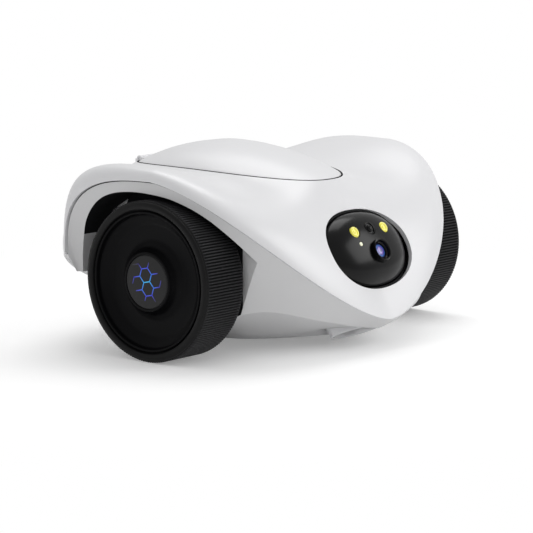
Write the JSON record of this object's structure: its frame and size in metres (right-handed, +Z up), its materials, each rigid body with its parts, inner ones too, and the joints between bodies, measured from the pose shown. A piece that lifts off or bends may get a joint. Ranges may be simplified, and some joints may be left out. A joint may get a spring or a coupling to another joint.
{
  "type": "treat tossing pet camera",
  "caption": "Two-wheeled rolling pet camera with a hinged treat hopper, a paddle tosser, a front outlet, a domed camera eye and a tail caster.",
  "frame": {"origin": "on the floor under the middle of the body's length and width", "axes": "the nose and camera eye face -Y, +X is to the right as seen from the front, +Z up"},
  "size_m": [0.217, 0.1743, 0.1023],
  "materials": {
    "white_shell": "satin moulded plastic",
    "grey_tub": "fine textured moulded plastic",
    "black_gloss": "polished dark faceplate",
    "black_satin": "satin moulded plastic",
    "tyre_rubber": "ribbed rubber",
    "seal_rubber": "soft moulded rubber",
    "hub_film": "printed lattice under a clear face",
    "bin_plastic": "food safe moulded plastic",
    "rotor_plastic": "flexible moulded paddles",
    "lens_glass": "coated lens",
    "lamp_plastic": "tinted clear domes",
    "lamp_white": "milky clear window",
    "steel_pin": "ground pins, axles and screws",
    "motor_can": "plated motor cans and bracket plates",
    "brass_bush": "turned bushes and pinions",
    "gear_nylon": "moulded nylon",
    "board_green": "lacquered circuit boards",
    "cell_wrap": "shrink sleeve round the cells"
  },
  "bodies": {
    "chassis": {"upper_shell": "white_shell", "lower_tub": "grey_tub", "lid_hinge_pin": "steel_pin", "lid_hinge_bracket": "white_shell", "hopper_bin": "bin_plastic", "dispenser_housing": "bin_plastic", "rotor_motor": "motor_can", "treat_chute": "bin_plastic", "outlet_lip": "white_shell", "eye_bezel": "black_satin", "eye_faceplate": "black_gloss", "lens_barrel": "black_satin", "lens_glass": "lens_glass", "lamp_left": "lamp_plastic", "lamp_right": "lamp_plastic", "presence_sensor": "black_gloss", "status_lamp": "lamp_white", "camera_board": "board_green", "axle_bush_left": "brass_bush", "axle_bush_right": "brass_bush", "motor_left": "motor_can", "motor_right": "motor_can", "motor_bracket_left": "motor_can", "motor_bracket_right": "motor_can", "battery_pack": "cell_wrap", "main_board": "board_green", "speaker": "black_satin", "charge_port": "motor_can", "caster_socket": "gear_nylon", "base_screws": "steel_pin", "board_screws": "steel_pin"},
    "wheel_left": {"tyre_left": "tyre_rubber", "rim_left": "black_satin", "hub_cap_left": "hub_film", "axle_left": "steel_pin", "drive_gear_left": "gear_nylon"},
    "wheel_right": {"tyre_right": "tyre_rubber", "rim_right": "black_satin", "hub_cap_right": "hub_film", "axle_right": "steel_pin", "drive_gear_right": "gear_nylon"},
    "pinion_left": {"motor_pinion_left": "brass_bush"},
    "pinion_right": {"motor_pinion_right": "brass_bush"},
    "tosser": {"treat_rotor": "rotor_plastic"},
    "lid": {"hopper_lid": "white_shell", "lid_seal": "seal_rubber"},
    "caster": {"caster_fork": "black_satin", "caster_axle": "steel_pin"},
    "caster_wheel": {"caster_roller": "tyre_rubber"},
    "button": {"power_button": "white_shell"}
  },
  "joints": [
    {"name": "left_wheel_spin", "type": "hinge", "parent": "chassis", "child": "wheel_left", "pos_m": [-0.094, -0.01272, 0.041], "axis": [1, 0, 0], "continuous": true},
    {"name": "right_wheel_spin", "type": "hinge", "parent": "chassis", "child": "wheel_right", "pos_m": [0.094, -0.01272, 0.041], "axis": [1, 0, 0], "continuous": true},
    {"name": "left_pinion_spin", "type": "hinge", "parent": "chassis", "child": "pinion_left", "pos_m": [-0.06, 0.00528, 0.03018], "axis": [1, 0, 0], "continuous": true},
    {"name": "right_pinion_spin", "type": "hinge", "parent": "chassis", "child": "pinion_right", "pos_m": [0.06, 0.00528, 0.03018], "axis": [1, 0, 0], "continuous": true},
    {"name": "tosser_spin", "type": "hinge", "parent": "chassis", "child": "tosser", "pos_m": [0, -0.02472, 0.0305], "axis": [1, 0, 0], "continuous": true},
    {"name": "lid_hinge", "type": "hinge", "parent": "chassis", "child": "lid", "pos_m": [0, 0.07688, 0.0892], "axis": [-1, 0, 0], "range_deg": [0, 75]},
    {"name": "caster_swivel", "type": "hinge", "parent": "chassis", "child": "caster", "pos_m": [0, 0.04528, 0.019], "axis": [0, 0, 1], "continuous": true},
    {"name": "caster_roll", "type": "hinge", "parent": "caster", "child": "caster_wheel", "pos_m": [0, 0.05028, 0.007], "axis": [1, 0, 0], "continuous": true},
    {"name": "power_press", "type": "slide", "parent": "chassis", "child": "button", "axis": [0, -0.9999, -0.012], "range_m": [0, 0.001], "stiffness_N_per_m": 300}
  ],
  "couplings": [
    {"joint": "left_pinion_spin", "follows": "left_wheel_spin", "ratio": -2.5},
    {"joint": "right_pinion_spin", "follows": "right_wheel_spin", "ratio": -2.5}
  ]
}
